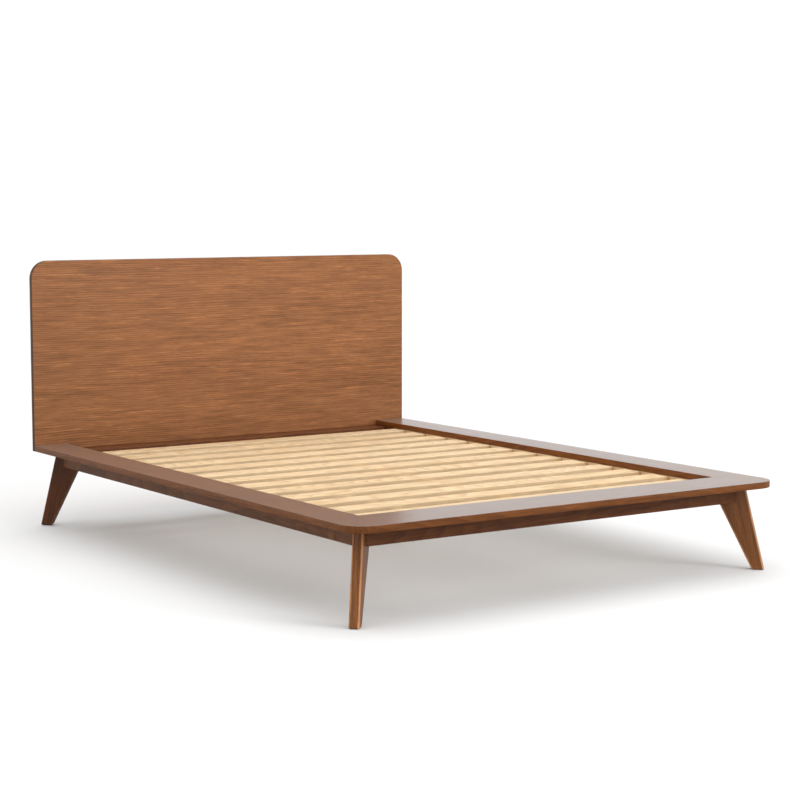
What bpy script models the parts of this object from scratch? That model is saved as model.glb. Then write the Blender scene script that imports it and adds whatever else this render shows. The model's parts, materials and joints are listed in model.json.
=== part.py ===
"""Wooden platform bed frame: a flat surround of boards with mitred, rounded foot corners, carried on inset
rails and four splayed corner legs, with a tall round-cornered headboard and a slatted mattress base.

Metres, +Z up. X runs across the bed, +Y towards the headboard. The origin is on the floor, at the middle of
the bed's box. "left" is -X, as seen from the foot.
"""

import math

import bmesh
import bpy
from mathutils import Matrix, Vector

# Clearance between two pieces that touch.
GAP = 0.0003

# Mattress and the recess it drops into.
MATTRESS_WIDTH = 1.400
MATTRESS_LENGTH = 2.000
SIDE_CLEARANCE = 0.010
END_CLEARANCE = 0.030

# Surround boards, lying flat round the recess on three sides.
SIDE_LEDGE = 0.134
FOOT_LEDGE = 0.183
DECK_THICKNESS = 0.022
DECK_TOP = 0.305
DECK_CORNER_RADIUS = 0.080
DECK_EDGE = 0.0020

# Headboard, its rear posts and the two long blocks that space it off the head rail.
HEADBOARD_TOP = 1.006
HEADBOARD_THICKNESS = 0.022
HEADBOARD_CORNER_RADIUS = 0.068
POST_WIDTH = 0.070
POST_THICKNESS = 0.022
POST_TOP = 0.860
POST_SPREAD = 1.000
POST_COUNTERBORE = 0.007
SPACER_END = 0.034

# Rails under the surround, set back further at the foot.
RAIL_INSET = 0.080
FOOT_INSET = 0.098
RAIL_HEIGHT = 0.057
RAIL_THICKNESS = 0.022
RETURN_LENGTH = 0.132
RAIL_EDGE = 0.0015

# Corner legs: tapered boards set on the diagonal. Reaches run outwards from the rails' outer corner.
LEG_THICKNESS = 0.033
LEG_TOP_REACH = 0.012
LEG_FOOT_REACH = 0.079
LEG_FOOT_WIDTH = 0.042
LEG_SHOULDER = 0.075
LEG_EDGE = 0.0050
PAD_THICKNESS = 0.003
PAD_MARGIN = 0.006

# Braces that close each corner behind the leg.
BRACE_THICKNESS = 0.028
BRACE_DROP = 0.002

# Slats, the ledgers that carry their ends, and the two webbing straps stapled under them.
LEDGER_SHELF = 0.032
LEDGER_HEIGHT = 0.030
LEDGER_END_CLEARANCE = 0.003
SLAT_COUNT = 13
SLAT_WIDTH = 0.080
SLAT_THICKNESS = 0.015
SLAT_END_CLEARANCE = 0.005
SLAT_EDGE = 0.0020
STRAP_WIDTH = 0.025
STRAP_THICKNESS = 0.0012
STRAP_SPREAD = 0.840

# Centre beam, its hangers, and the one centre leg with its screw foot, a little headwards of the middle.
BEAM_WIDTH = 0.045
BEAM_HEIGHT = 0.036
BEAM_CLEARANCE = 0.0005
HANGER_STEEL = 0.003
HANGER_DEPTH = 0.034
HANGER_LIP = 0.006
CENTRE_LEG_WIDTH = 0.045
CENTRE_LEG_CLEARANCE = 0.020
CENTRE_LEG_SHIFT = 0.060
LEVELLER_RADIUS = 0.019
LEVELLER_DISC = 0.008
LEVELLER_STEM_RADIUS = 0.004
LEVELLER_STEM_TOP = 0.050
LEVELLER_TRAVEL_UP = 0.010
LEVELLER_HOLE_RADIUS = 0.005
LEVELLER_HEADROOM = 0.005
LEVELLER_CHAMFER = 0.0015

# Bolts: shank radius, head radius and head height.
M8 = (0.0040, 0.0080, 0.0050)
M6 = (0.0030, 0.0055, 0.0040)
BOLT_CLEARANCE = 0.0004
BOLT_HEAD_CLEARANCE = 0.0010
BOLT_TIP_CLEARANCE = 0.0020
CUT_OVERRUN = 0.004
LEG_BOLT_BITE = 0.030
LEDGER_BOLT_BITE = 0.014
HEADBOARD_BOLT_BITE = 0.016

ARC_STEPS = 12
ROUND_STEPS = 24
SHARP_ANGLE = math.radians(40)
WELD = 1e-5
DIAGONAL = math.sqrt(2)

# Sizes and places worked out from the ones above.
RECESS_WIDTH = MATTRESS_WIDTH + 2 * SIDE_CLEARANCE
RECESS_LENGTH = MATTRESS_LENGTH + 2 * END_CLEARANCE
HALF_WIDTH = RECESS_WIDTH / 2 + SIDE_LEDGE
TOTAL_LENGTH = FOOT_LEDGE + RECESS_LENGTH + HEADBOARD_THICKNESS + POST_THICKNESS + GAP
FOOT_Y = -TOTAL_LENGTH / 2
RECESS_FOOT_Y = FOOT_Y + FOOT_LEDGE
HEADBOARD_Y = RECESS_FOOT_Y + RECESS_LENGTH
HEADBOARD_BACK_Y = HEADBOARD_Y + HEADBOARD_THICKNESS
POST_Y = HEADBOARD_BACK_Y + GAP
DECK_BOTTOM = DECK_TOP - DECK_THICKNESS
RAIL_TOP = DECK_BOTTOM - GAP
RAIL_BOTTOM = DECK_BOTTOM - RAIL_HEIGHT
CORNER_X = HALF_WIDTH - RAIL_INSET
FOOT_CORNER_Y = FOOT_Y + FOOT_INSET
HEAD_CORNER_Y = HEADBOARD_BACK_Y - RAIL_INSET
LEG_BOTTOM = PAD_THICKNESS + GAP
LEDGER_BOTTOM = RAIL_TOP - LEDGER_HEIGHT
REBATE_FLOOR = RAIL_TOP - SLAT_THICKNESS - GAP
BRACE_BOTTOM = RAIL_BOTTOM + BRACE_DROP
BRACE_TOP = LEDGER_BOTTOM - GAP
BRACE_FRONT = LEG_SHOULDER + GAP
BRACE_BACK = BRACE_FRONT + BRACE_THICKNESS
LEG_BOLT_REACH = BRACE_BACK + GAP + M8[2] + M8[1]
LEDGER_START = LEG_BOLT_REACH / DIAGONAL + LEDGER_END_CLEARANCE
LEDGER_BOLT_ALONG = (LEDGER_START + RETURN_LENGTH) / 2
LEDGER_BOLT_Z = (LEDGER_BOTTOM + REBATE_FLOOR) / 2
BEAM_TOP = REBATE_FLOOR
BEAM_BOTTOM = BEAM_TOP - BEAM_HEIGHT
CENTRE_LEG_Y = (FOOT_CORNER_Y + HEAD_CORNER_Y) / 2 + CENTRE_LEG_SHIFT

# Each corner: name, side (-1 left, +1 right), end (-1 foot, +1 head) and the y of the rails' outer corner.
CORNERS = (
    ("foot_left", -1, -1, FOOT_CORNER_Y),
    ("foot_right", 1, -1, FOOT_CORNER_Y),
    ("head_left", -1, 1, HEAD_CORNER_Y),
    ("head_right", 1, 1, HEAD_CORNER_Y),
)
SIDES = (("left", -1), ("right", 1))


def clear_scene():
    for obj in list(bpy.data.objects):
        bpy.data.objects.remove(obj)


def new_collection(name):
    collection = bpy.data.collections.new(name)
    bpy.context.scene.collection.children.link(collection)
    return collection


def new_material(name, colour, roughness, metallic=0.0):
    material = bpy.data.materials.new(name)
    material.use_nodes = True
    shader = material.node_tree.nodes["Principled BSDF"]
    shader.inputs["Base Color"].default_value = (*colour, 1.0)
    shader.inputs["Roughness"].default_value = roughness
    shader.inputs["Metallic"].default_value = metallic
    return material


def keep(obj, name, material):
    """Gives the object and its mesh a name, a material and shading, and moves it to the bed's collection."""
    obj.name = name
    obj.data.name = name
    obj.data.shade_smooth()
    obj.data.set_sharp_from_angle(angle=SHARP_ANGLE)
    obj.data.materials.clear()
    obj.data.materials.append(material)
    for collection in list(obj.users_collection):
        collection.objects.unlink(obj)
    BED.objects.link(obj)
    return obj


def bevel(obj, width, segments=1):
    modifier = obj.modifiers.new("edges", "BEVEL")
    modifier.width = width
    modifier.segments = segments
    modifier.limit_method = "ANGLE"
    modifier.angle_limit = SHARP_ANGLE
    return obj


def bevel_but_seams(obj, seams, width, segments):
    """Eases a slab's sharp edges, but not those of its seam faces. A seam is its two ends in the outline."""
    work = bmesh.new()
    work.from_mesh(obj.data)
    weights = work.edges.layers.float.new("bevel_weight_edge")
    for edge in work.edges:
        on_seam = any(
            all(min((vert.co.xy - Vector(end)).length for end in seam) < WELD for vert in edge.verts)
            for seam in seams
        )
        edge[weights] = float(edge.calc_face_angle() > SHARP_ANGLE and not on_seam)
    work.to_mesh(obj.data)
    work.free()
    bevel(obj, width, segments).modifiers["edges"].limit_method = "WEIGHT"
    return obj


def box(name, low, high, material, edge=0.0):
    """A block between two corners, with its edges eased."""
    low, high = Vector(low), Vector(high)
    bpy.ops.mesh.primitive_cube_add(size=1, location=(low + high) / 2)
    obj = bpy.context.object
    obj.scale = high - low
    bpy.ops.object.transform_apply(location=False, rotation=False, scale=True)
    keep(obj, name, material)
    return bevel(obj, edge) if edge else obj


def slab(name, points, thickness, material, matrix, edge=0.0, segments=1):
    """A flat outline given half its thickness each way, made a mesh so that it can be cut."""
    curve = bpy.data.curves.new(name + "_outline", "CURVE")
    curve.dimensions = "2D"
    curve.fill_mode = "BOTH"
    curve.extrude = thickness / 2
    spline = curve.splines.new("POLY")
    spline.points.add(len(points) - 1)
    for point, (x, y) in zip(spline.points, points):
        point.co = (x, y, 0, 1)
    spline.use_cyclic_u = True
    outline = bpy.data.objects.new(name + "_outline", curve)
    outline.matrix_world = matrix
    BED.objects.link(outline)
    bpy.context.view_layer.update()
    graph = bpy.context.evaluated_depsgraph_get()
    mesh = bpy.data.meshes.new_from_object(outline.evaluated_get(graph))
    weld_caps(mesh)
    obj = bpy.data.objects.new(name, mesh)
    BED.objects.link(obj)
    obj.matrix_world = outline.matrix_world
    bpy.data.objects.remove(outline)
    keep(obj, name, material)
    return bevel(obj, edge, segments) if edge else obj


def weld_caps(mesh):
    """Joins a curve's loose caps to its sides and clears the edges that lie inside a flat face."""
    work = bmesh.new()
    work.from_mesh(mesh)
    bmesh.ops.remove_doubles(work, verts=work.verts, dist=WELD)
    bmesh.ops.dissolve_limit(work, angle_limit=math.radians(1), verts=work.verts, edges=work.edges)
    bmesh.ops.recalc_face_normals(work, faces=work.faces)
    work.to_mesh(mesh)
    work.free()


def cut(obj, cutter):
    """Takes the cutter out of the object, and keeps the cutter as a hidden wire guide."""
    for collection in list(cutter.users_collection):
        collection.objects.unlink(cutter)
    CUTTERS.objects.link(cutter)
    cutter.name = obj.name + "_cutter"
    cutter.hide_render = True
    cutter.display_type = "WIRE"
    modifier = obj.modifiers.new("cut", "BOOLEAN")
    modifier.operation = "DIFFERENCE"
    modifier.object = cutter
    return obj


def drill(obj, radius, start, direction, depth):
    """Cuts a round hole from a point on the surface, into the object."""
    direction = Vector(direction).normalized()
    length = depth + CUT_OVERRUN
    middle = Vector(start) + direction * (depth - CUT_OVERRUN) / 2
    bpy.ops.mesh.primitive_cylinder_add(vertices=ROUND_STEPS, radius=radius, depth=length, location=middle)
    cylinder = bpy.context.object
    cylinder.rotation_mode = "QUATERNION"
    cylinder.rotation_quaternion = direction.to_track_quat("Z", "Y")
    return cut(obj, cylinder)


def turned(name, profile, material, place=(0, 0, 0), axis=(0, 0, 1)):
    """A round piece from its outer profile, (radius, height) from top to bottom, stood along an axis."""
    mesh = bpy.data.meshes.new(name)
    points = [(radius, 0, height) for radius, height in profile]
    mesh.from_pydata(points, [(i, i + 1) for i in range(len(points) - 1)], [])
    obj = bpy.data.objects.new(name, mesh)
    BED.objects.link(obj)
    screw = obj.modifiers.new("turn", "SCREW")
    screw.steps = screw.render_steps = ROUND_STEPS
    screw.use_merge_vertices = True
    screw.merge_threshold = WELD
    bpy.context.view_layer.update()
    graph = bpy.context.evaluated_depsgraph_get()
    obj.data = bpy.data.meshes.new_from_object(obj.evaluated_get(graph))
    obj.modifiers.clear()
    bpy.data.meshes.remove(mesh)
    obj.rotation_mode = "QUATERNION"
    obj.rotation_quaternion = Vector(axis).to_track_quat("Z", "Y")
    obj.location = place
    return keep(obj, name, material)


def bolt(name, size, length, seat, axis):
    """A dome-headed bolt: seat is the middle of the face under its head, and axis points out of the head."""
    shank, head, height = size
    dome = [
        (head * math.sin(math.radians(angle)), height * (0.4 + 0.6 * math.cos(math.radians(angle))))
        for angle in range(0, 91, 30)
    ]
    profile = [*dome, (head, 0), (shank, 0), (shank, -length + shank / 2), (shank / 2, -length), (0, -length)]
    return turned(name, profile, STEEL, seat, axis)


def arc(centre, radius, start, end):
    """Points of an arc between two angles, in radians."""
    return [
        (
            centre[0] + radius * math.cos(start + (end - start) * i / ARC_STEPS),
            centre[1] + radius * math.sin(start + (end - start) * i / ARC_STEPS),
        )
        for i in range(ARC_STEPS + 1)
    ]


def mitre_angle(shift):
    """Where the mitre line, moved towards the head by shift, crosses the right foot corner's arc."""
    radius = DECK_CORNER_RADIUS
    a = SIDE_LEDGE**2 + FOOT_LEDGE**2
    b = -2 * (radius * SIDE_LEDGE + (radius - shift) * FOOT_LEDGE)
    c = (radius - shift) ** 2
    step = (-b - math.sqrt(b * b - 4 * a * c)) / (2 * a)
    return math.atan2(shift + step * FOOT_LEDGE - radius, radius - step * SIDE_LEDGE)


def corner_point(corner, across, along):
    """A plan point, by how far it lies inwards from the rails' outer corner, across and along the bed."""
    _, side, end, corner_y = corner
    return side * (CORNER_X - across), corner_y - end * along


def outward(corner):
    """The level unit vector that points out through a corner, along its leg."""
    _, side, end, _ = corner
    return Vector((side, end, 0)) / DIAGONAL


def make_foot_deck():
    centre = (HALF_WIDTH - DECK_CORNER_RADIUS, FOOT_Y + DECK_CORNER_RADIUS)
    right = [(RECESS_WIDTH / 2, RECESS_FOOT_Y)]
    right += arc(centre, DECK_CORNER_RADIUS, mitre_angle(0), -math.pi / 2)
    left = [(-x, y) for x, y in reversed(right)]
    place = Matrix.Translation((0, 0, DECK_TOP - DECK_THICKNESS / 2))
    deck = slab("foot_deck", right + left, DECK_THICKNESS, WALNUT, place)
    bevel_but_seams(deck, (right[:2], left[-2:]), DECK_EDGE, 2)


def make_side_deck(name, side):
    shift = 2 * GAP
    centre = (HALF_WIDTH - DECK_CORNER_RADIUS, FOOT_Y + DECK_CORNER_RADIUS)
    points = [(RECESS_WIDTH / 2, RECESS_FOOT_Y + shift), (RECESS_WIDTH / 2, HEADBOARD_Y - GAP)]
    points += [(HALF_WIDTH, HEADBOARD_Y - GAP)]
    points += arc(centre, DECK_CORNER_RADIUS, 0, mitre_angle(shift))
    points = [(side * x, y) for x, y in points]
    place = Matrix.Translation((0, 0, DECK_TOP - DECK_THICKNESS / 2))
    deck = slab("side_deck_" + name, points, DECK_THICKNESS, WALNUT, place)
    bevel_but_seams(deck, ((points[0], points[-1]),), DECK_EDGE, 2)


def make_headboard():
    """The panel stands on end behind the surround, its foot level with the surround's underside."""
    radius = HEADBOARD_CORNER_RADIUS
    right = [(HALF_WIDTH, DECK_BOTTOM)]
    right += arc((HALF_WIDTH - radius, HEADBOARD_TOP - radius), radius, 0, math.pi / 2)
    left = [(-x, z) for x, z in reversed(right)]
    middle = (0, HEADBOARD_Y + HEADBOARD_THICKNESS / 2, 0)
    place = Matrix.Translation(middle) @ Matrix.Rotation(math.pi / 2, 4, "X")
    slab("headboard_panel", right + left, HEADBOARD_THICKNESS, WALNUT, place, DECK_EDGE, 2)


def make_headboard_mount(name, side):
    """A rear post and half of the long block before it, pulled to the head rail by one long bolt."""
    middle = side * POST_SPREAD / 2
    low, high = middle - POST_WIDTH / 2, middle + POST_WIDTH / 2
    back = POST_Y + POST_THICKNESS
    bolt_z = (RAIL_TOP + RAIL_BOTTOM) / 2
    hole = M8[0] + BOLT_CLEARANCE
    foot_corner, top_corner = (low, POST_Y, BRACE_BOTTOM), (high, back, POST_TOP)
    post = box("headboard_post_" + name, foot_corner, top_corner, WALNUT, DECK_EDGE)
    drill(post, M8[1] + BOLT_HEAD_CLEARANCE, (middle, back, bolt_z), (0, -1, 0), POST_COUNTERBORE)
    drill(post, hole, (middle, back, bolt_z), (0, -1, 0), POST_THICKNESS + BOLT_TIP_CLEARANCE)
    ends = sorted((side * GAP / 2, side * (CORNER_X - SPACER_END)))
    spacer = box(
        "headboard_spacer_" + name,
        (ends[0], HEAD_CORNER_Y + GAP, BRACE_BOTTOM),
        (ends[1], HEADBOARD_BACK_Y, RAIL_TOP),
        WALNUT,
        RAIL_EDGE,
    )
    drill(spacer, hole, (middle, HEADBOARD_BACK_Y, bolt_z), (0, -1, 0), RAIL_INSET + BOLT_TIP_CLEARANCE)
    seat = back - POST_COUNTERBORE + GAP
    reach = seat - HEAD_CORNER_Y + HEADBOARD_BOLT_BITE
    bolt("headboard_bolt_" + name, M8, reach, (middle, seat, bolt_z), (0, 1, 0))


def make_end_rail(name, end, corner_y):
    """A cross rail whose ends are cut to the diagonal faces of the two legs."""
    leg_face = DIAGONAL * (LEG_THICKNESS / 2 + GAP)
    outer, inner = CORNER_X - leg_face, CORNER_X - leg_face - RAIL_THICKNESS
    outside, inside = corner_y, corner_y - end * RAIL_THICKNESS
    points = [(-outer, outside), (outer, outside), (inner, inside), (-inner, inside)]
    place = Matrix.Translation((0, 0, (RAIL_TOP + RAIL_BOTTOM) / 2))
    rail = slab(name, points, RAIL_TOP - RAIL_BOTTOM, WALNUT, place, RAIL_EDGE)
    if end > 0:
        bolt_z = (RAIL_TOP + RAIL_BOTTOM) / 2
        for _, side in SIDES:
            start = (side * POST_SPREAD / 2, corner_y, bolt_z)
            drill(rail, M8[0] + BOLT_CLEARANCE, start, (0, -1, 0), HEADBOARD_BOLT_BITE + BOLT_TIP_CLEARANCE)


def make_side_rail(name, side):
    outer, inner = side * CORNER_X, side * (CORNER_X - RAIL_THICKNESS)
    foot, head = FOOT_CORNER_Y + RETURN_LENGTH + GAP, HEAD_CORNER_Y - RETURN_LENGTH - GAP
    low = (min(outer, inner), foot, RAIL_BOTTOM)
    high = (max(outer, inner), head, RAIL_TOP)
    box("side_rail_" + name, low, high, WALNUT, RAIL_EDGE)


def make_return(corner):
    """The short piece of side rail that belongs to an end of the bed."""
    leg_face = DIAGONAL * (LEG_THICKNESS / 2 + GAP)
    inner = RAIL_THICKNESS
    plan = [(0, leg_face), (0, RETURN_LENGTH), (inner, RETURN_LENGTH), (inner, leg_face + inner)]
    points = [corner_point(corner, across, along) for across, along in plan]
    place = Matrix.Translation((0, 0, (RAIL_TOP + RAIL_BOTTOM) / 2))
    piece = slab("rail_return_" + corner[0], points, RAIL_TOP - RAIL_BOTTOM, WALNUT, place, RAIL_EDGE)
    start = (*corner_point(corner, RAIL_THICKNESS, LEDGER_BOLT_ALONG), LEDGER_BOLT_Z)
    drill(piece, M6[0] + BOLT_CLEARANCE, start, (corner[1], 0, 0), LEDGER_BOLT_BITE + BOLT_TIP_CLEARANCE)


def make_leg(corner):
    """A tapered board on the corner's diagonal, its shoulder bolted to the brace behind it."""
    out = outward(corner)
    points = [
        (LEG_FOOT_REACH, LEG_BOTTOM),
        (LEG_TOP_REACH, RAIL_TOP),
        (-LEG_SHOULDER, RAIL_TOP),
        (-LEG_SHOULDER, RAIL_BOTTOM),
        (LEG_FOOT_REACH - LEG_FOOT_WIDTH, LEG_BOTTOM),
    ]
    turn = Matrix.Rotation(math.atan2(out.y, out.x), 4, "Z")
    place = Matrix.Translation((*corner_point(corner, 0, 0), 0)) @ turn
    upright = Matrix.Rotation(math.pi / 2, 4, "X")
    leg = slab("leg_" + corner[0], points, LEG_THICKNESS, WALNUT, place @ upright)
    bevel_but_seams(leg, (points[1:3], points[4:] + points[:1]), LEG_EDGE, 2)
    bolt_z = (BRACE_BOTTOM + BRACE_TOP) / 2
    hole = M8[0] + BOLT_CLEARANCE
    drill(leg, hole, place @ Vector((-LEG_SHOULDER, 0, bolt_z)), out, LEG_BOLT_BITE + BOLT_TIP_CLEARANCE)
    make_brace(corner, place, bolt_z, hole)
    make_pad(corner, place)
    seat = place @ Vector((-BRACE_BACK - GAP, 0, bolt_z))
    bolt("leg_bolt_" + corner[0], M8, BRACE_THICKNESS + LEG_BOLT_BITE, seat, -out)


def make_brace(corner, place, bolt_z, hole):
    """A block across the corner, its ends cut to lie on the rails' inner faces."""
    rail_face = DIAGONAL * (RAIL_THICKNESS + GAP)
    front, back = BRACE_FRONT - rail_face, BRACE_BACK - rail_face
    points = [(-BRACE_FRONT, -front), (-BRACE_FRONT, front), (-BRACE_BACK, back), (-BRACE_BACK, -back)]
    lift = Matrix.Translation((0, 0, (BRACE_BOTTOM + BRACE_TOP) / 2))
    brace = slab("corner_brace_" + corner[0], points, BRACE_TOP - BRACE_BOTTOM, PINE, place @ lift)
    start = place @ Vector((-BRACE_BACK, 0, bolt_z))
    drill(brace, hole, start, outward(corner), BRACE_THICKNESS + BOLT_TIP_CLEARANCE)


def make_pad(corner, place):
    """The felt pad under a leg."""
    middle = LEG_FOOT_REACH - LEG_FOOT_WIDTH / 2
    length = LEG_FOOT_WIDTH - 2 * PAD_MARGIN
    width = LEG_THICKNESS - 2 * PAD_MARGIN
    half = Vector((length, width, PAD_THICKNESS)) / 2
    pad = box("leg_pad_" + corner[0], -half, half, FELT)
    pad.matrix_world = place @ Matrix.Translation((middle, 0, PAD_THICKNESS / 2))


def make_ledger(name, side):
    """A rebated batten inside the rail: the surround lies on its top, the slats' ends in its rebate."""
    outer = side * (CORNER_X - RAIL_THICKNESS - GAP)
    edge = side * RECESS_WIDTH / 2
    inner = edge - side * LEDGER_SHELF
    width = abs(outer - inner)
    section = [
        (outer, RAIL_TOP),
        (edge, RAIL_TOP),
        (edge, REBATE_FLOOR),
        (inner, REBATE_FLOOR),
        (inner, LEDGER_BOTTOM),
        (outer, LEDGER_BOTTOM),
    ]
    foot, head = FOOT_CORNER_Y + LEDGER_START, HEAD_CORNER_Y - LEDGER_START
    place = Matrix.Translation((0, (foot + head) / 2, 0)) @ Matrix.Rotation(math.pi / 2, 4, "X")
    ledger = slab("slat_ledger_" + name, section, head - foot, PINE, place)
    for corner in CORNERS:
        if corner[1] != side:
            continue
        _, along = corner_point(corner, 0, LEDGER_BOLT_ALONG)
        start = (inner, along, LEDGER_BOLT_Z)
        drill(ledger, M6[0] + BOLT_CLEARANCE, start, (side, 0, 0), width + BOLT_TIP_CLEARANCE)
        length = width + LEDGER_BOLT_BITE
        seat = (inner - side * GAP, along, LEDGER_BOLT_Z)
        bolt("ledger_bolt_" + corner[0], M6, length, seat, (-side, 0, 0))


def make_slats():
    """Slats spread evenly from the foot board's edge to the ledgers' head ends."""
    half = RECESS_WIDTH / 2 - SLAT_END_CLEARANCE
    end = HEAD_CORNER_Y - LEDGER_START - LEDGER_END_CLEARANCE
    pitch = (end - RECESS_FOOT_Y) / SLAT_COUNT
    for i in range(SLAT_COUNT):
        far = RECESS_FOOT_Y + pitch * (i + 1)
        low = (-half, far - SLAT_WIDTH, REBATE_FLOOR + GAP)
        high = (half, far, REBATE_FLOOR + GAP + SLAT_THICKNESS)
        box(f"slat_{i + 1:02d}", low, high, PINE, SLAT_EDGE)
    for name, side in SIDES:
        middle = side * STRAP_SPREAD / 2
        start = RECESS_FOOT_Y + pitch - SLAT_WIDTH
        low = (middle - STRAP_WIDTH / 2, start, REBATE_FLOOR - STRAP_THICKNESS)
        high = (middle + STRAP_WIDTH / 2, end, REBATE_FLOOR)
        box("slat_strap_" + name, low, high, WEBBING)


def make_beam():
    """The centre beam between two open-topped steel hangers on the end rails."""
    foot = FOOT_CORNER_Y + RAIL_THICKNESS + GAP
    head = HEAD_CORNER_Y - RAIL_THICKNESS - GAP
    half = BEAM_WIDTH / 2
    ease = HANGER_STEEL + BEAM_CLEARANCE
    box("centre_beam", (-half, foot + ease, BEAM_BOTTOM), (half, head - ease, BEAM_TOP), PINE, RAIL_EDGE)
    for name, wall, inwards in (("foot", foot, 1), ("head", head, -1)):
        make_hanger(name, wall, inwards)


def make_hanger(name, wall, inwards):
    inside = BEAM_WIDTH / 2 + BEAM_CLEARANCE
    outside = inside + HANGER_STEEL
    tray = BEAM_BOTTOM - BEAM_CLEARANCE
    rim = BEAM_TOP - HANGER_LIP
    far = wall + inwards * HANGER_DEPTH
    low = (-outside, min(wall, far), tray - HANGER_STEEL)
    high = (outside, max(wall, far), rim)
    hanger = box("beam_hanger_" + name, low, high, STEEL)
    near = wall + inwards * HANGER_STEEL
    far += inwards * CUT_OVERRUN
    low = (-inside, min(near, far), tray)
    high = (inside, max(near, far), rim + CUT_OVERRUN)
    cut(hanger, box("beam_space", low, high, STEEL))


def make_centre_leg():
    half = CENTRE_LEG_WIDTH / 2
    low = (-half, CENTRE_LEG_Y - half, CENTRE_LEG_CLEARANCE)
    high = (half, CENTRE_LEG_Y + half, BEAM_BOTTOM - GAP)
    leg = box("centre_leg", low, high, WALNUT, DECK_EDGE)
    depth = LEVELLER_STEM_TOP + LEVELLER_TRAVEL_UP + LEVELLER_HEADROOM - CENTRE_LEG_CLEARANCE
    start = (0, CENTRE_LEG_Y, CENTRE_LEG_CLEARANCE)
    drill(leg, LEVELLER_HOLE_RADIUS, start, (0, 0, 1), depth)


def make_leveller():
    """The screw foot: a disc on the floor and its threaded stem, up inside the centre leg."""
    chamfer = LEVELLER_CHAMFER
    profile = [
        (0, LEVELLER_STEM_TOP),
        (LEVELLER_STEM_RADIUS - chamfer, LEVELLER_STEM_TOP),
        (LEVELLER_STEM_RADIUS, LEVELLER_STEM_TOP - chamfer),
        (LEVELLER_STEM_RADIUS, LEVELLER_DISC),
        (LEVELLER_RADIUS - chamfer, LEVELLER_DISC),
        (LEVELLER_RADIUS, LEVELLER_DISC - chamfer),
        (LEVELLER_RADIUS, chamfer),
        (LEVELLER_RADIUS - chamfer, 0),
        (0, 0),
    ]
    turned("leveller", profile, NYLON, (0, CENTRE_LEG_Y, 0))


clear_scene()
BED = new_collection("bed_frame")
CUTTERS = new_collection("cutters")
CUTTERS.hide_render = True
WALNUT = new_material("walnut_stain", (0.30, 0.125, 0.055), 0.38)
PINE = new_material("pale_pine", (0.62, 0.45, 0.28), 0.6)
STEEL = new_material("zinc_steel", (0.55, 0.55, 0.56), 0.35, 1.0)
FELT = new_material("black_felt", (0.03, 0.03, 0.03), 0.95)
WEBBING = new_material("webbing", (0.75, 0.74, 0.70), 0.9)
NYLON = new_material("black_nylon", (0.04, 0.04, 0.045), 0.45)

make_foot_deck()
make_headboard()
make_end_rail("foot_rail", -1, FOOT_CORNER_Y)
make_end_rail("head_rail", 1, HEAD_CORNER_Y)
for side_name, side_sign in SIDES:
    make_side_deck(side_name, side_sign)
    make_side_rail(side_name, side_sign)
    make_headboard_mount(side_name, side_sign)
    make_ledger(side_name, side_sign)
for each_corner in CORNERS:
    make_return(each_corner)
    make_leg(each_corner)
make_slats()
make_beam()
make_centre_leg()
make_leveller()
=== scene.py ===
"""Looks of a wooden platform bed frame, on a white studio floor: walnut-stained boards, rails and legs, a
bare pine slatted base, zinc-plated fittings, webbing, felt pads and the screw foot.

Metres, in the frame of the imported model: +Z up, +Y towards the headboard, the floor at z = 0.
"""

import json
import math

import bmesh
import bpy
from mathutils import Matrix, Vector

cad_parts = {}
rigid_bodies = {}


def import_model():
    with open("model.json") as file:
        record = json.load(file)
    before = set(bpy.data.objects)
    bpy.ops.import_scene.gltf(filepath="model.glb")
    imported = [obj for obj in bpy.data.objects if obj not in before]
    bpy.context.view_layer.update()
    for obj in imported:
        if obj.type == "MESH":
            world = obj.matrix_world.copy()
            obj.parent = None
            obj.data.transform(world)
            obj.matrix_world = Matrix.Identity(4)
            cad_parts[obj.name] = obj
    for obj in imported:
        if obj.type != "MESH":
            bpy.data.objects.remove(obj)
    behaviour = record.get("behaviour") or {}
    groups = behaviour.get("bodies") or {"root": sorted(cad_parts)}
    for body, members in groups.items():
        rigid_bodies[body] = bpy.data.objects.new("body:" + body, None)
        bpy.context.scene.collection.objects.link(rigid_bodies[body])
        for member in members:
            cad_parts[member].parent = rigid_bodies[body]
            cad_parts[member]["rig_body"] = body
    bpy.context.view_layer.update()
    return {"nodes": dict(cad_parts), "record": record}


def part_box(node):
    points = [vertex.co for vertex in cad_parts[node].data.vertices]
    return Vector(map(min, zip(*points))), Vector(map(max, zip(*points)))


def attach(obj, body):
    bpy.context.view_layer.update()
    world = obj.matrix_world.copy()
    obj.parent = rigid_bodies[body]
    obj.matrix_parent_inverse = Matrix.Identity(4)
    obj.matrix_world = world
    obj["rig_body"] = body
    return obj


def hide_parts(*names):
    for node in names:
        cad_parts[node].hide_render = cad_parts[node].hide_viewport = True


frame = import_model()

X, Y, Z = Vector((1, 0, 0)), Vector((0, 1, 0)), Vector((0, 0, 1))
SIDES = ("left", "right")
ENDS = (("foot", -1), ("head", 1))

# Clean-up of a CAD mesh, and the segments of a turned piece.
WELD = 1e-5
FLAT_ANGLE = math.radians(0.5)
SMOOTH_ANGLE = math.radians(40)
TURN_STEPS = 24

# Which faces take a board's second material, by the cosine of their turn from its face normal: the decks'
# lipping, the headboard's edge faces in painted shade, and the legs' chamfers.
LIPPING_AND_EDGE_SHADE_FACES = (0.0, 0.5)
# The chamfers of a leg, which at the foot legs take a painted highlight.
CHAMFER_FACES = (0.3, 0.95)

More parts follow.
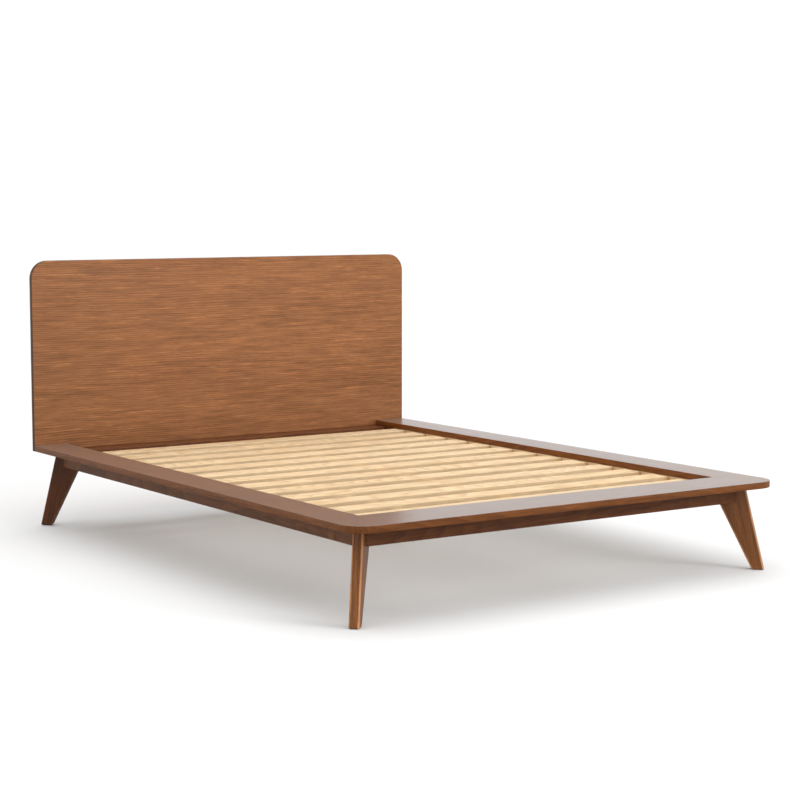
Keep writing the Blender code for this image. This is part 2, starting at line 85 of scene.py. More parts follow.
# Bands of another tone. BAND_BLUR is the length over which a band's ends fade, unless it gives its own.
# The side rails have a lighter strip at the foot end, and a dark joint line: two places from that end, and
# a factor. The headboard's low part is darker, a painted shade: a world axis, two places along it, a factor
# and a blur.
BAND_BLUR = 0.001
STRIP_LENGTH = 0.037
STRIP_TONE = 1.45
JOINT_LINE = (-0.002, 0.0015, 0.35)
PANEL_PAINTED_SHADE = (2, -1.0, 0.95, 0.86, 0.45)

# How far the legs' grain leans outwards in a metre of its length.
LEG_LEAN = 0.21

# Fittings: metres, shares of a size of the CAD piece, and counts. STAPLE_SECTION is the wire's four corners,
# each on its outer edge (0) or inner edge (1) and at a place along the bed.
THREAD_STEP = 0.00125
THREAD_ROOT = 0.86
SOCKET_SHARE = 0.75
SOCKET_DEPTH = 0.65
THREADED_SHARE = 0.55
HANGER_STEEL = 0.003
HANGER_SCREW_MARGIN = 0.012
HANGER_SCREW_RADIUS = 0.0035
POST_SCREWS = (0.36, 0.56, 0.80)
POST_SCREW_MARGIN = 0.018
PLUG_PROUD = 0.0001
LEDGER_SCREWS = 5
LEDGER_SCREW_RISE = 0.008
LEDGER_SCREW_RADIUS = 0.0036
LEDGER_SCREW_SINK = 0.0004
SLAT_COUNT = 13
STAPLE_SHARES = (0.3, 0.7)
STAPLE_CROWN = 0.010
STAPLE_WIRE = 0.0009
STAPLE_SECTION = ((0, -STAPLE_WIRE / 2), (0, STAPLE_WIRE / 2), (1, STAPLE_WIRE / 2), (1, -STAPLE_WIRE / 2))
DISC_TOP = 0.008
STEM_RADIUS = 0.004
INSERT_FLANGE = 0.0012
WEAVE_PITCH = 0.0016

# Camera: its place from the middle of the foot board's outer edge on the floor, and where it looks.
CAMERA_OFFSET = Vector((-3.7948, -4.5901, 1.2360))
CAMERA_YAW = 0.5953
CAMERA_PITCH = 0.1030
CAMERA_LENS = 87.24

# Brightness of the room below, at the horizon, up the walls and overhead.
GROUND = 0.30
HORIZON = 1.5
WALLS = 0.35
OVERHEAD = 2.1

# The backdrop that the camera sees, the floor, and the one lamp, in front of the bed and to its right.
BACKDROP = 1.05
FLOOR_TONE = 0.75
FLOOR_RADIUS = 60
KEY_PLACE = (2.6, -5.2, 2.4)
KEY_TARGET = (0, 0, 0.4)
KEY_SIZE = (2.0, 2.0)
KEY_POWER = 110

# The room's brightness by the height of the direction looked in, from -1 straight down to 1 straight up.
ROOM = ((-0.12, GROUND), (-0.02, HORIZON), (0.14, HORIZON), (0.26, WALLS), (0.55, WALLS), (0.78, OVERHEAD))

# Growth rings of a tree trunk: the wave texture's scale for rings a metre apart.
RING_SCALE = 0.314

# Metres along the trunk between one seed's board and the next, and how far the rings wander off their pith.
# The pith line leans by a board's tilt, and sways about that by a share of it, at a rate in radians a metre.
SEED_SLIDE = 3.17
WANDER = 0.05
SWAY_RATE = 5.3
SWAY_SHARE = 0.4

# Repeats per metre of the marks in wood: along the grain, across it and through the board.
DRIFT = (1.3, 4.0, 4.0)
TONE = (1.1, 6.0, 6.0)
STREAKS = (6.5, 95, 95)
BRIGHT_FLECKS = (9, 210, 210)
DARK_FLECKS = (13, 300, 300)
FIBRES = (26, 620, 620)
PORES = (60, 1700, 1700)

# Tones and grain of each wood. ring is the spacing of its growth rings, and rings, streaks and flecks say how
# strongly those mark it.
HEADBOARD = {
    "light": (0.440, 0.185, 0.068),
    "middle": (0.355, 0.138, 0.046),
    "dark": (0.180, 0.060, 0.018),
    "ring": 0.0085,
    "rings": 0.62,
    "streaks": (0.70, 1.27),
    "flecks": 0.55,
    "roughness": (0.34, 0.46),
    "specular": 0.25,
    "coat": 0.0,
}
DECK = {
    "light": (0.172, 0.066, 0.020),
    "middle": (0.134, 0.048, 0.013),
    "dark": (0.070, 0.023, 0.006),
    "ring": 0.0085,
    "rings": 0.40,
    "streaks": (0.76, 1.22),
    "flecks": 0.40,
    "roughness": (0.30, 0.40),
    "specular": 0.3,
    "coat": 0.9,
    "coat_roughness": 0.30,
    "sheen": 0.10,
}
DECK_LIPPING = {
    **DECK,
    "light": (0.240, 0.079, 0.015),
    "middle": (0.180, 0.055, 0.009),
    "dark": (0.080, 0.021, 0.003),
    "specular": 0.2,
    "coat": 0.15,
    "sheen": 0.0,
}
# The headboard's edge faces: a darker, greyer copy of its wood, a painted shade.
HEADBOARD_EDGE_SHADE = {
    **HEADBOARD,
    "light": (0.125, 0.070, 0.040),
    "middle": (0.092, 0.049, 0.027),
    "dark": (0.048, 0.024, 0.013),
    "specular": 0.1,
}
SOLID = {
    "light": (0.195, 0.066, 0.020),
    "middle": (0.150, 0.047, 0.013),
    "dark": (0.075, 0.021, 0.006),
    "ring": 0.006,
    "rings": 0.45,
    "streaks": (0.72, 1.26),
    "flecks": 0.40,
    "roughness": (0.34, 0.46),
    "specular": 0.2,
    "coat": 0.0,
}
# A lighter, greyer copy for the side rails and their returns: a painted sheen, the white room as seen at a
# grazing angle.
SIDE_RAIL_PAINTED_SHEEN = {
    **SOLID,
    "light": (0.240, 0.092, 0.034),
    "middle": (0.185, 0.068, 0.024),
    "dark": (0.090, 0.030, 0.010),
}
LEG = {
    **SOLID,
    "light": (0.290, 0.108, 0.030),
    "middle": (0.225, 0.078, 0.019),
    "dark": (0.105, 0.032, 0.008),
    "streaks": (0.66, 1.32),
    "coat": 0.3,
    "coat_roughness": 0.2,
}
# A much lighter copy for the foot legs' chamfers: a painted highlight.
LEG_PAINTED_HIGHLIGHT = {
    **LEG,
    "light": (0.700, 0.330, 0.140),
    "middle": (0.580, 0.250, 0.095),
    "dark": (0.300, 0.110, 0.035),
}
# A darker copy for the legs at the head end: painted shade.
LEG_PAINTED_SHADE = {
    **LEG,
    "light": (0.130, 0.040, 0.011),
    "middle": (0.095, 0.027, 0.006),
    "dark": (0.045, 0.012, 0.003),
    "coat": 0.15,
}
PINE = {
    "light": (0.78, 0.60, 0.38),
    "middle": (0.70, 0.50, 0.29),
    "dark": (0.50, 0.31, 0.15),
    "ring": 0.005,
    "rings": 0.55,
    "streaks": (0.90, 1.08),
    "flecks": 0.25,
    "roughness": (0.55, 0.70),
    "specular": 0.3,
    "coat": 0.0,
}


def node(tree, kind, inputs=None, **settings):
    """Adds a node; each input is a value or the socket that feeds it."""
    made = tree.nodes.new("ShaderNode" + kind)
    for name, value in settings.items():
        setattr(made, name, value)
    for name, value in (inputs or {}).items():
        if isinstance(value, bpy.types.NodeSocket):
            tree.links.new(value, made.inputs[name])
        else:
            made.inputs[name].default_value = value
    return made


def new_material(name):
    material = bpy.data.materials.new(name)
    material.use_nodes = True
    return material, material.node_tree, material.node_tree.nodes["Principled BSDF"]


def mixed(tree, blend, factor, first, second):
    """A colour mix; colours are triples or sockets."""
    inputs = {0: factor}
    for index, colour in ((6, first), (7, second)):
        inputs[index] = colour if isinstance(colour, bpy.types.NodeSocket) else (*colour, 1)
    made = node(tree, "Mix", inputs, data_type="RGBA", blend_type=blend)
    return made.outputs[2]


def spread(tree, value, low, high, to_low=0.0, to_high=1.0):
    """A value moved from one range to another, held at its ends."""
    inputs = {"Value": value, "From Min": low, "From Max": high, "To Min": to_low, "To Max": to_high}
    return node(tree, "MapRange", inputs).outputs[0]


def scaled(tree, vector, scale):
    return node(tree, "VectorMath", {0: vector, 1: scale}, operation="MULTIPLY").outputs[0]


def noise(tree, vector, scale, detail, roughness=0.5):
    """Noise over a vector that is first stretched by a scale on each axis."""
    inputs = {"Vector": scaled(tree, vector, scale), "Scale": 1.0, "Detail": detail, "Roughness": roughness}
    return node(tree, "TexNoise", inputs)


def grain_turn(grain, face):
    """The turn that puts a board's grain on X and its face's normal on Z."""
    across = face.cross(grain)
    return Matrix((grain, across, face)).to_euler("XYZ")


def grey(tree, value):
    return node(tree, "CombineColor", {0: value, 1: value, 2: value}).outputs[0]


def maths(tree, operation, first, second=0.0):
    return node(tree, "Math", {0: first, 1: second}, operation=operation).outputs[0]


def banded(tree, colour, axis, low, high, factor, blur=BAND_BLUR):
    """The colour times a factor between two places along a world axis, with soft ends."""
    parts = node(tree, "SeparateXYZ", {0: node(tree, "TexCoord").outputs["Object"]}).outputs
    rise = spread(tree, parts[axis], low, low + blur)
    fall = spread(tree, parts[axis], high - blur, high, 1.0, 0.0)
    amount = spread(tree, maths(tree, "MULTIPLY", rise, fall), 0, 1, 1.0, factor)
    return mixed(tree, "MULTIPLY", 1.0, colour, grey(tree, amount))


def wood(name, look, grain, face, pith, seed, tilt=0.03, bands=()):
    """Sawn wood: growth rings about a pith line that leans out of the board, with streaks, fibres and pores.

    grain and face are the board's grain direction and face normal. pith is how far the ring centre lies from
    the origin, across the grain and through the board. seed slides the board along the trunk.
    """
    material, tree, shader = new_material(name)
    place = node(tree, "TexCoord").outputs["Object"]
    slide = Vector((seed * SEED_SLIDE, -pith[0], -pith[1]))
    inputs = {"Vector": place, "Rotation": grain_turn(grain, face), "Location": slide}
    board = node(tree, "Mapping", inputs).outputs[0]

    drift = noise(tree, board, DRIFT, 3.0).outputs["Color"]
    centred = node(tree, "VectorMath", {0: drift, 1: (0.5, 0.5, 0.5)}, operation="SUBTRACT").outputs[0]
    pushed = scaled(tree, centred, (0, WANDER, WANDER))
    wandered = node(tree, "VectorMath", {0: pushed, 1: board}, operation="ADD").outputs[0]
    parts = node(tree, "SeparateXYZ", {0: wandered}).outputs
    wave = maths(tree, "SINE", maths(tree, "MULTIPLY", parts[0], SWAY_RATE))
    sway = maths(tree, "MULTIPLY", wave, tilt * SWAY_SHARE)
    lean = maths(tree, "ADD", maths(tree, "MULTIPLY", parts[0], tilt), sway)
    depth = maths(tree, "ADD", parts[2], lean)
    trunk = node(tree, "CombineXYZ", {0: parts[0], 1: parts[1], 2: depth}).outputs[0]
    ring_inputs = {"Vector": trunk, "Scale": RING_SCALE / look["ring"], "Distortion": 0.9, "Detail": 3.0}
    ring_kind = {"wave_type": "RINGS", "rings_direction": "X", "wave_profile": "SAW"}
    rings = node(tree, "TexWave", ring_inputs, **ring_kind).outputs["Fac"]

    streaks = noise(tree, board, STREAKS, 4.0, 0.6).outputs["Fac"]
    fibres = noise(tree, board, FIBRES, 2.0, 0.6).outputs["Fac"]
    tone = noise(tree, board, TONE, 2.0).outputs["Fac"]
    pores = spread(tree, noise(tree, board, PORES, 1.0).outputs["Fac"], 0.58, 0.68)

    ramp = node(tree, "ValToRGB", {"Fac": rings})
    stops = ramp.color_ramp.elements
    stops[0].color = (*look["light"], 1)
    stops[1].color = (*look["light"], 1)
    for position, colour in ((0.45, look["middle"]), (0.85, look["dark"])):
        stops.new(position).color = (*colour, 1)
    ringed = mixed(tree, "MIX", look["rings"], look["middle"], ramp.outputs["Color"])
    toned = mixed(tree, "MIX", spread(tree, tone, 0.35, 0.7, 0.0, 0.5), ringed, look["light"])
    streak_tone = spread(tree, streaks, 0.3, 0.7, *look["streaks"])
    streaked = mixed(tree, "MULTIPLY", 1.0, toned, grey(tree, streak_tone))
    fibre_tone = spread(tree, fibres, 0.3, 0.7, 0.86, 1.12)
    fibred = mixed(tree, "MULTIPLY", 1.0, streaked, grey(tree, fibre_tone))
    pored = mixed(tree, "MIX", maths(tree, "MULTIPLY", pores, 0.4), fibred, look["dark"])

    flecks = look["flecks"]
    dark_flecks = noise(tree, board, DARK_FLECKS, 2.0, 0.7).outputs["Fac"]
    darker = maths(tree, "MULTIPLY", spread(tree, dark_flecks, 0.56, 0.70), flecks)
    marked = mixed(tree, "MIX", darker, pored, look["dark"])
    bright_flecks = noise(tree, board, BRIGHT_FLECKS, 3.0, 0.6).outputs["Fac"]
    brighter = spread(tree, bright_flecks, 0.57, 0.72, 1.0, 1.0 + flecks)
    finished = mixed(tree, "MULTIPLY", 1.0, marked, grey(tree, brighter))
    for band in bands:
        finished = banded(tree, finished, *band)

    tree.links.new(finished, shader.inputs["Base Color"])
    tree.links.new(spread(tree, streaks, 0.3, 0.7, *look["roughness"]), shader.inputs["Roughness"])
    height = maths(tree, "SUBTRACT", fibres, pores)
    bump = node(tree, "Bump", {"Height": height, "Strength": 0.25, "Distance": 0.0002})
    tree.links.new(bump.outputs[0], shader.inputs["Normal"])
    shader.inputs["Specular IOR Level"].default_value = look["specular"]
    shader.inputs["Coat Weight"].default_value = look["coat"]
    shader.inputs["Coat Roughness"].default_value = look.get("coat_roughness", 0.2)
    shader.inputs["Sheen Weight"].default_value = look.get("sheen", 0.0)
    shader.inputs["Sheen Roughness"].default_value = 0.45
    return material


def plain(name, colour, roughness, metallic=0.0, mottle=0.15, grain=900.0):
    """A fine, even surface: small changes of tone and roughness, and a fine bump."""
    material, tree, shader = new_material(name)
    place = node(tree, "TexCoord").outputs["Object"]
    speck = noise(tree, place, (grain, grain, grain), 2.0).outputs["Fac"]
    cloud = noise(tree, place, (40, 40, 40), 3.0).outputs["Fac"]
    shade = spread(tree, cloud, 0.3, 0.7, 1 - mottle, 1 + mottle)
    tree.links.new(mixed(tree, "MULTIPLY", 1.0, colour, grey(tree, shade)), shader.inputs["Base Color"])
    worn = spread(tree, cloud, 0.3, 0.7, roughness * 0.85, roughness * 1.15)
    tree.links.new(worn, shader.inputs["Roughness"])
    bump = node(tree, "Bump", {"Height": speck, "Strength": 0.2, "Distance": 0.0002})
    tree.links.new(bump.outputs[0], shader.inputs["Normal"])
    shader.inputs["Metallic"].default_value = metallic
    return material


def shown(name, material, edge=None, face=None, facing=LIPPING_AND_EDGE_SHADE_FACES):
    """A smooth-shaded piece in a CAD node's own shape, its flat faces made whole, that stands for the node.

    edge is the material of the faces whose turn from the board's face normal, as a cosine, is within facing.
    """
    mesh = frame["nodes"][name].data.copy()
    mesh.name = name + "_shown"
    work = bmesh.new()
    work.from_mesh(mesh)
    bmesh.ops.remove_doubles(work, verts=work.verts, dist=WELD)
    bmesh.ops.dissolve_limit(work, angle_limit=FLAT_ANGLE, verts=work.verts, edges=work.edges)
    work.to_mesh(mesh)
    work.free()
    for stale in ("custom_normal", "sharp_edge", "sharp_face"):
        if stale in mesh.attributes:
            mesh.attributes.remove(mesh.attributes[stale])
    mesh.shade_smooth()
    mesh.set_sharp_from_angle(angle=SMOOTH_ANGLE)
    piece = bpy.data.objects.new(name + "_shown", mesh)
    bpy.context.scene.collection.objects.link(piece)
    normals = piece.modifiers.new("flat faces", "WEIGHTED_NORMAL")
    normals.keep_sharp = True
    mesh.materials.clear()
    mesh.materials.append(material)
    if edge:
        mesh.materials.append(edge)
        for polygon in mesh.polygons:
            polygon.material_index = int(facing[0] <= abs(polygon.normal.dot(face)) < facing[1])
    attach(piece, frame["nodes"][name]["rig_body"])
    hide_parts(name)


def ring_points(radius, height, sides=0):
    """The points of one ring about Z: round, or a polygon whose flats lie at the radius."""
    points = []
    for step in range(TURN_STEPS):
        angle = math.tau * step / TURN_STEPS
        reach = radius
        if sides:
            sector = math.tau / sides
            reach = radius / math.cos((angle + sector / 2) % sector - sector / 2)
        points.append(Vector((reach * math.cos(angle), reach * math.sin(angle), height)))
    return points


def skin(work, loops, closed=False):
    """Faces from each loop of vertices to the next, and then end caps or, if closed, back to the first."""
    for before, after in zip(loops, loops[1:] + loops[:1] if closed else loops[1:]):
        for step in range(len(before)):
            following = (step + 1) % len(before)
            work.faces.new((before[step], before[following], after[following], after[step]))
    if not closed:
        work.faces.new(loops[0][::-1])
        work.faces.new(loops[-1])


def lathe(name, rings, place, axis, material, body="frame", replaced=()):
    """A turned piece. Each ring is a radius, a height and, where it has flat sides, their count."""
    work = bmesh.new()
    skin(work, [[work.verts.new(point) for point in ring_points(*ring)] for ring in rings])
    turn = Z.rotation_difference(Vector(axis)).to_matrix().to_4x4()
    bmesh.ops.transform(work, matrix=Matrix.Translation(place) @ turn, verts=work.verts)
    finished_piece(name, work, material, body, replaced)


def finished_piece(name, work, material, body="frame", replaced=()):
    """A piece from a bmesh, smooth but for its sharp edges."""
    bmesh.ops.recalc_face_normals(work, faces=work.faces)
    mesh = bpy.data.meshes.new(name)
    work.to_mesh(mesh)
    work.free()
    mesh.shade_smooth()
    mesh.set_sharp_from_angle(angle=SMOOTH_ANGLE)
    mesh.materials.append(material)
    piece = bpy.data.objects.new(name, mesh)
    bpy.context.scene.collection.objects.link(piece)
    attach(piece, body)
    if replaced:
        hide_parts(*replaced)


SLOTS = {part["node"]: part["material_slot"] for part in frame["record"]["subparts"]}
CORNERS = [(f"{end}_{side}", x, y) for end, y in ENDS for side, x in zip(SIDES, (-1, 1))]


def make_surround():
    """The headboard, with painted shade on its low part and edge faces, and the three deck boards, each with
    a solid lipping round its veneered face.
    """
    # The headboard's wood takes a painted shade on its low part.
    panel = wood("headboard_wood", HEADBOARD, X, -Y, (-0.62, -1.03), 1, 0.04, (PANEL_PAINTED_SHADE,))
    rim = wood("headboard_edge_shade", HEADBOARD_EDGE_SHADE, Z, -Y, (0.4, -1.03), 22)
    shown("headboard_panel", panel, rim, Y)
    front = wood("foot_deck_lipping", DECK_LIPPING, X, -Y, (-0.4, 1.0), 23)
    shown("foot_deck", wood("foot_deck_wood", DECK, X, Z, (-1.05, 0.26), 2), front, Z)
    for index, side in enumerate(SIDES):
        x = (index * 2 - 1) * 0.78
        top = wood(f"side_deck_{side}_wood", DECK, Y, Z, (-x, 0.25), 3 + index)
        lipping = wood(f"side_deck_{side}_lipping", DECK_LIPPING, Y, X, (-0.4, 1.0), 24 + index)
        shown("side_deck_" + side, top, lipping, Z)


def make_rails():
    """The rails under the deck, the headboard's posts and spacers, and all the legs."""
    for index, name in enumerate(("foot_rail", "head_rail")):
        shown(name, wood(name + "_wood", SOLID, X, -Y, (0.25, 1.0 - 2 * index), 5 + index))
    # The side rails and their returns take the lighter copy of the solid wood, a painted sheen.
    for index, side in enumerate(SIDES):
        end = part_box("side_rail_" + side)[0].y
        strip = (1, end - BAND_BLUR, end + STRIP_LENGTH, STRIP_TONE)
        joint = (1, end + JOINT_LINE[0], end + JOINT_LINE[1], JOINT_LINE[2])
        rail = wood(f"side_rail_{side}_wood", SIDE_RAIL_PAINTED_SHEEN, Y, X, (0.25, 0.74), 7 + index, 0.03, (strip, joint))
        shown("side_rail_" + side, rail)
    for index, (corner, x, y) in enumerate(CORNERS):
        name = "rail_return_" + corner
        shown(name, wood(name + "_wood", SIDE_RAIL_PAINTED_SHEEN, Y, X, (0.25, 0.74), 9 + index))
        make_leg(corner, Vector((x, y, 0)).normalized(), 13 + index)
    for index, side in enumerate(SIDES):
        shown("headboard_post_" + side, wood(f"post_{side}_wood", SOLID, Z, Y, (0.5, 1.2), 17 + index))
        spacer = wood(f"spacer_{side}_wood", SOLID, X, Z, (-1.08, 0.20), 19 + index)
        shown("headboard_spacer_" + side, spacer)
    shown("centre_leg", wood("centre_leg_wood", LEG, Z, Y, (0.03, 0.03), 21))


def make_leg(corner, out, seed):
    """A corner leg. At the foot legs the chamfers take a much lighter wood, a painted highlight; at the head
    legs the blades take a darker wood, painted shade. out points out of the bed along its blade.
    """
    grain = (Z - out * LEG_LEAN).normalized()
    face = out.cross(grain).normalized()
    # Foot legs: a painted highlight on the chamfers. Head legs: painted shade on the blades.
    tone, chamfer_look = (LEG_PAINTED_SHADE, SOLID) if out.y > 0 else (LEG, LEG_PAINTED_HIGHLIGHT)
    blade = wood(f"leg_{corner}_wood", tone, grain, face, (1.35, 0.05), seed)
    chamfer = wood(f"leg_{corner}_chamfer_wood", chamfer_look, grain, face, (1.35, 0.05), seed)
    shown("leg_" + corner, blade, chamfer, face, CHAMFER_FACES)


def make_base():
    """The pine pieces. Each is cut from its own trunk, a little below the piece."""
    for name in sorted(SLOTS):
        if SLOTS[name] != "pine":
            continue
        low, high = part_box(name)
        seed = 30 + sum(map(ord, name)) % 37
        lengthwise = X if name.startswith(("slat_0", "slat_1")) else Y
        middle = (low + high) / 2
        across = middle.y if lengthwise == X else -middle.x
        shown(name, wood(name + "_wood", PINE, lengthwise, Z, (across, middle.z - 0.05), seed))


def woven(name, colour):
    """A plain weave: two sets of threads, each over and under the other, with painted shade in its hollows.
    """
    material, tree, shader = new_material(name)
    parts = node(tree, "SeparateXYZ", {0: node(tree, "TexCoord").outputs["Object"]}).outputs
    waves = []
    for part in parts[:2]:
        turn = maths(tree, "MULTIPLY", part, math.tau / WEAVE_PITCH)
        waves.append(maths(tree, "SINE", turn))
    height = spread(tree, maths(tree, "MULTIPLY", *waves), -1, 1)
    # Painted shade: the weave darker in its hollows and lighter on its crowns, by the bump's height.
    hollow_shade = grey(tree, spread(tree, height, 0, 1, 0.72, 1.08))
    tree.links.new(mixed(tree, "MULTIPLY", 1.0, colour, hollow_shade), shader.inputs["Base Color"])
    bump = node(tree, "Bump", {"Height": height, "Strength": 0.6, "Distance": 0.0003})
    tree.links.new(bump.outputs[0], shader.inputs["Normal"])
    shader.inputs["Roughness"].default_value = 0.85
    return material


def thread(radius, start, end):
    """Rings of a thread, crest and root in turn, from start to just past end."""
    rings = []
    while start < end:
        rings += [(radius, start), (radius * THREAD_ROOT, start + THREAD_STEP / 2)]
        start += THREAD_STEP
    return rings


def bolt_shown(name, axis, steel):
    """A bolt in its CAD node's size, with a thread, a rounded head and a hex socket.

    axis runs from tip to head. Places along the bolt are measured from the middle of its points.
    """
    axis = Vector(axis).normalized()
    points = [vertex.co.copy() for vertex in frame["nodes"][name].data.vertices]
    centre = sum(points, Vector()) / len(points)
    along = [(point - centre).dot(axis) for point in points]
    reach = [((point - centre) - axis * step).length for point, step in zip(points, along)]
    tip, top, head = min(along), max(along), max(reach)
    shank = max(r for r, step in zip(reach, along) if step < tip + (top - tip) * 0.3)
    seat = min(step for r, step in zip(reach, along) if r > shank + 0.0005)
    floor = top - (top - seat) * SOCKET_DEPTH
    socket = shank * SOCKET_SHARE
    thread_end = tip + (seat - tip) * THREADED_SHARE
    rings = [(shank * 0.75, tip), (shank * 0.97, tip + shank * 0.3)]
    rings += thread(shank, tip + shank * 0.5, thread_end)
    rings += [(shank, thread_end + THREAD_STEP), (shank, seat), (head - 0.0004, seat), (head, seat + 0.0004)]
    rings += [(head, top - 0.0012), (head - 0.0005, top - 0.0004), (head - 0.0014, top)]
    rings += [(socket + 0.0003, top, 6), (socket, top - 0.0003, 6), (socket, floor, 6)]
    rings.append((0.0002, floor - 0.0003))
    lathe(name + "_shown", rings, centre, axis, steel, replaced=(name,))


def screw_head(name, place, axis, steel, radius):
    """A countersunk screw's head with a six-sided recess, its rim at the place. axis points out of it."""
    recess = radius * 0.42
    rings = [(radius * 0.6, -0.0012), (radius, 0.0), (radius - 0.0002, 0.0003), (recess + 0.0002, 0.0004, 6)]
    rings += [(recess, 0.0002, 6), (recess * 0.9, -0.0010, 6)]
    lathe(name, rings, place, axis, steel)


def make_bolts(steel):
    """The bolts of the headboard, ledgers and legs."""
    for index, side in enumerate(SIDES):
        bolt_shown("headboard_bolt_" + side, Y, steel)
        for end, _ in ENDS:
            bolt_shown(f"ledger_bolt_{end}_{side}", X * (1 - 2 * index), steel)
    for corner, x, y in CORNERS:
        bolt_shown("leg_bolt_" + corner, (-x, -y, 0), steel)


def make_screws(steel):
    """Screws that hold the hangers and ledgers to the rails, and plugs over those that hold the posts."""
    plug = wood("plug_wood", LEG, X, Y, (0.5, 1.2), 27)
    for end, outwards in ENDS:
        low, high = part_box("beam_hanger_" + end)
        wall = low.y if outwards < 0 else high.y
        ends = (low.x + HANGER_SCREW_MARGIN, high.x - HANGER_SCREW_MARGIN)
        for index, x in enumerate(ends):
            place = Vector((x, wall - outwards * (HANGER_STEEL + 0.0001), (low.z + high.z) / 2))
            name = f"hanger_screw_{end}_{index + 1}"
            screw_head(name, place, (0, -outwards, 0), steel, HANGER_SCREW_RADIUS)
    rings = [(0.0060, -0.0020), (0.0060, 0.00002), (0.0057, PLUG_PROUD)]
    for side in SIDES:
        low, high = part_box("headboard_post_" + side)
        for index, height in enumerate(POST_SCREWS):
            for edge, x in (("a", low.x + POST_SCREW_MARGIN), ("b", high.x - POST_SCREW_MARGIN)):
                place = Vector((x, high.y, height))
                lathe(f"post_plug_{side}_{index + 1}{edge}", rings, place, Y, plug)
    for side, inwards in zip(SIDES, (1, -1)):
        low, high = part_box("slat_ledger_" + side)
        x = (high.x if inwards > 0 else low.x) - inwards * LEDGER_SCREW_SINK
        for index in range(LEDGER_SCREWS):
            share = (index + 1) / (LEDGER_SCREWS + 1)
            place = Vector((x, low.y + (high.y - low.y) * share, low.z + LEDGER_SCREW_RISE))
            name = f"ledger_screw_{side}_{index + 1}"
            screw_head(name, place, (inwards, 0, 0), steel, LEDGER_SCREW_RADIUS)


def make_staples(steel):
    """Two wire staples at each slat, driven up through the webbing."""
    for side in SIDES:
        low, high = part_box("slat_strap_" + side)
        middle = (low.x + high.x) / 2
        work = bmesh.new()
        for index in range(SLAT_COUNT):
            slat_low, slat_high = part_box(f"slat_{index + 1:02d}")
            for share in STAPLE_SHARES:
                y = slat_low.y + (slat_high.y - slat_low.y) * share
                add_staple(work, Vector((middle, y, low.z)))
        finished_piece("strap_staples_" + side, work, steel)


def add_staple(work, place):
    """A flat-wire staple's crown, bent into the webbing at both ends."""
    half, wire = STAPLE_CROWN / 2, STAPLE_WIRE
    left = [(-half, 0.0002), (-half, -wire * 0.6), (-half + wire, -wire)]
    path = left + [(-x, z) for x, z in reversed(left)]
    loops = []
    for x, z in path:
        crown = abs(x) < half - wire / 2
        inner_x = x if crown else x - math.copysign(wire, x)
        inner_z = z + (wire if crown else wire * 0.4)
        edges = ((x, z), (inner_x, inner_z))
        corners = [(edges[side][0], depth, edges[side][1]) for side, depth in STAPLE_SECTION]
        loops.append([work.verts.new(place + Vector(corner)) for corner in corners])
    skin(work, loops)


def make_leveller(steel, nylon):
    """The screw foot: a nylon disc with a hex boss, its threaded steel stem, and the leg's flanged insert."""
    low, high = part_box("leveller")
    place = Vector(((low.x + high.x) / 2, (low.y + high.y) / 2, 0))
    radius, top = (high.x - low.x) / 2, high.z
    rings = [(radius - 0.0022, 0.0), (radius - 0.0004, 0.0008), (radius, 0.0020), (radius, 0.0038)]
    rings += [(radius - 0.0008, 0.0050), (0.0105, 0.0058)]
    rings += [(0.0085, 0.0058, 6), (0.0085, DISC_TOP - 0.0003, 6), (0.0081, DISC_TOP, 6)]
    lathe("leveller_foot", rings, place, Z, nylon, "leveller", ("leveller",))
    threaded = thread(STEM_RADIUS, DISC_TOP - 0.001, top - THREAD_STEP * 1.5)
    last = threaded[-2][1] + THREAD_STEP
    rings = [(STEM_RADIUS * THREAD_ROOT, DISC_TOP - 0.002), *threaded]
    rings += [(STEM_RADIUS, last), (STEM_RADIUS * 0.75, top)]
    lathe("leveller_stem", rings, place, Z, steel, "leveller")
    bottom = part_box("centre_leg")[0].z
    flange = bottom - INSERT_FLANGE
    rings = [(0.0052, bottom - 0.0002), (0.0056, flange), (0.0105, flange), (0.0110, flange + 0.0004)]
    rings.append((0.0110, bottom))
    ring_piece("leg_insert", rings, place, steel)


def ring_piece(name, rings, place, material):
    """A ring turned from a closed profile."""
    work = bmesh.new()
    skin(work, [[work.verts.new(place + point) for point in ring_points(*ring)] for ring in rings], True)
    finished_piece(name, work, material)


def make_fittings():
    """All that is neither walnut nor pine: the steel, webbing, felt and nylon."""
    steel = plain("zinc_steel_surface", (0.58, 0.58, 0.60), 0.32, 1.0)
    felt = plain("felt_surface", (0.035, 0.035, 0.035), 0.95, 0.0, 0.3, 1400.0)
    nylon = plain("nylon_surface", (0.03, 0.03, 0.033), 0.45)
    webbing = woven("webbing_surface", (0.70, 0.69, 0.64))
    by_slot = {"black_felt": felt, "webbing": webbing}
    for name in sorted(SLOTS):
        if SLOTS[name] in by_slot:
            shown(name, by_slot[SLOTS[name]])
    for end, _ in ENDS:
        shown("beam_hanger_" + end, steel)
    make_bolts(steel)
    make_screws(steel)
    make_staples(steel)
    make_leveller(steel, nylon)


def make_floor():
    """A wide white floor that takes shadows but sends no light back up: the room's ground tone does that."""
    material, _, shader = new_material("studio_floor")
    shader.inputs["Base Color"].default_value = (*[FLOOR_TONE] * 3, 1)
    shader.inputs["Roughness"].default_value = 0.8
    work = bmesh.new()
    bmesh.ops.create_circle(work, cap_ends=True, radius=FLOOR_RADIUS, segments=64)
    mesh = bpy.data.meshes.new("studio_floor")
    work.to_mesh(mesh)
    work.free()
    mesh.materials.append(material)
    floor = bpy.data.objects.new("studio_floor", mesh)
    bpy.context.scene.collection.objects.link(floor)
    floor.visible_diffuse = False
    floor.visible_glossy = False
    floor.visible_shadow = False


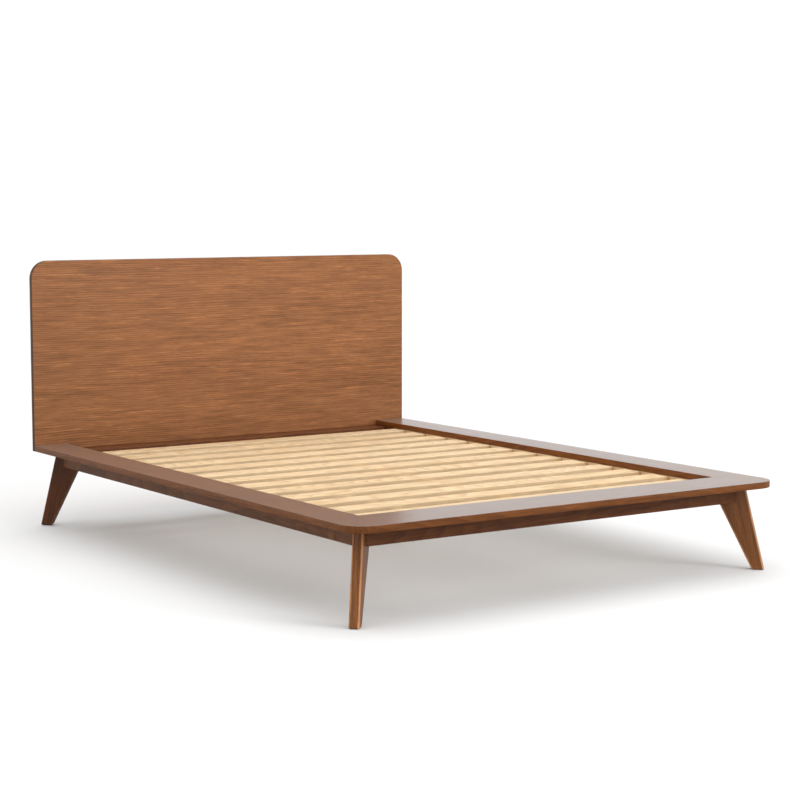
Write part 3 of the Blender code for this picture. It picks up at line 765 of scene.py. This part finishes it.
def make_light(name, place, target, size, power):
    light = bpy.data.lights.new(name, "AREA")
    light.shape = "RECTANGLE"
    light.size, light.size_y = size
    light.energy = power
    lamp = bpy.data.objects.new(name, light)
    lamp.location = place
    lamp.rotation_mode = "QUATERNION"
    lamp.rotation_quaternion = (Vector(target) - Vector(place)).to_track_quat("-Z", "Y")
    bpy.context.scene.collection.objects.link(lamp)


def make_studio():
    """A white room: dim round the sides, bright overhead, and plain white where the camera sees it."""
    scene = bpy.context.scene
    scene.view_settings.view_transform = "Standard"
    world = bpy.data.worlds.new("studio")
    world.use_nodes = True
    scene.world = world
    tree = world.node_tree
    lit = tree.nodes["Background"]
    lit.inputs["Color"].default_value = (1, 1, 1, 1)
    seen = node(tree, "Background", {"Color": (1, 1, 1, 1), "Strength": BACKDROP})
    height = node(tree, "SeparateXYZ", {0: node(tree, "TexCoord").outputs["Generated"]}).outputs[2]
    ramp = node(tree, "ValToRGB", {"Fac": spread(tree, height, -1, 1)})
    stops = ramp.color_ramp.elements
    stops[0].color = (*[GROUND] * 3, 1)
    stops[1].color = (*[OVERHEAD] * 3, 1)
    for rise, level in ROOM:
        stops.new((rise + 1) / 2).color = (*[level] * 3, 1)
    tree.links.new(ramp.outputs["Color"], lit.inputs["Strength"])
    camera_ray = node(tree, "LightPath").outputs["Is Camera Ray"]
    either = node(tree, "MixShader", {0: camera_ray, 1: lit.outputs[0], 2: seen.outputs[0]})
    tree.links.new(either.outputs[0], tree.nodes["World Output"].inputs["Surface"])
    make_light("key", KEY_PLACE, KEY_TARGET, KEY_SIZE, KEY_POWER)


def make_camera():
    camera = bpy.data.objects.new("camera", bpy.data.cameras.new("camera"))
    camera.data.lens = CAMERA_LENS
    low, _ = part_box("foot_deck")
    camera.location = Vector((0, low.y, 0)) + CAMERA_OFFSET
    turn = Matrix.Rotation(-CAMERA_YAW, 3, "Z") @ Matrix.Rotation(math.pi / 2 - CAMERA_PITCH, 3, "X")
    camera.rotation_euler = turn.to_euler()
    bpy.context.scene.collection.objects.link(camera)
    bpy.context.scene.camera = camera


make_camera()
make_surround()
make_rails()
make_base()
make_fittings()
make_floor()
make_studio()
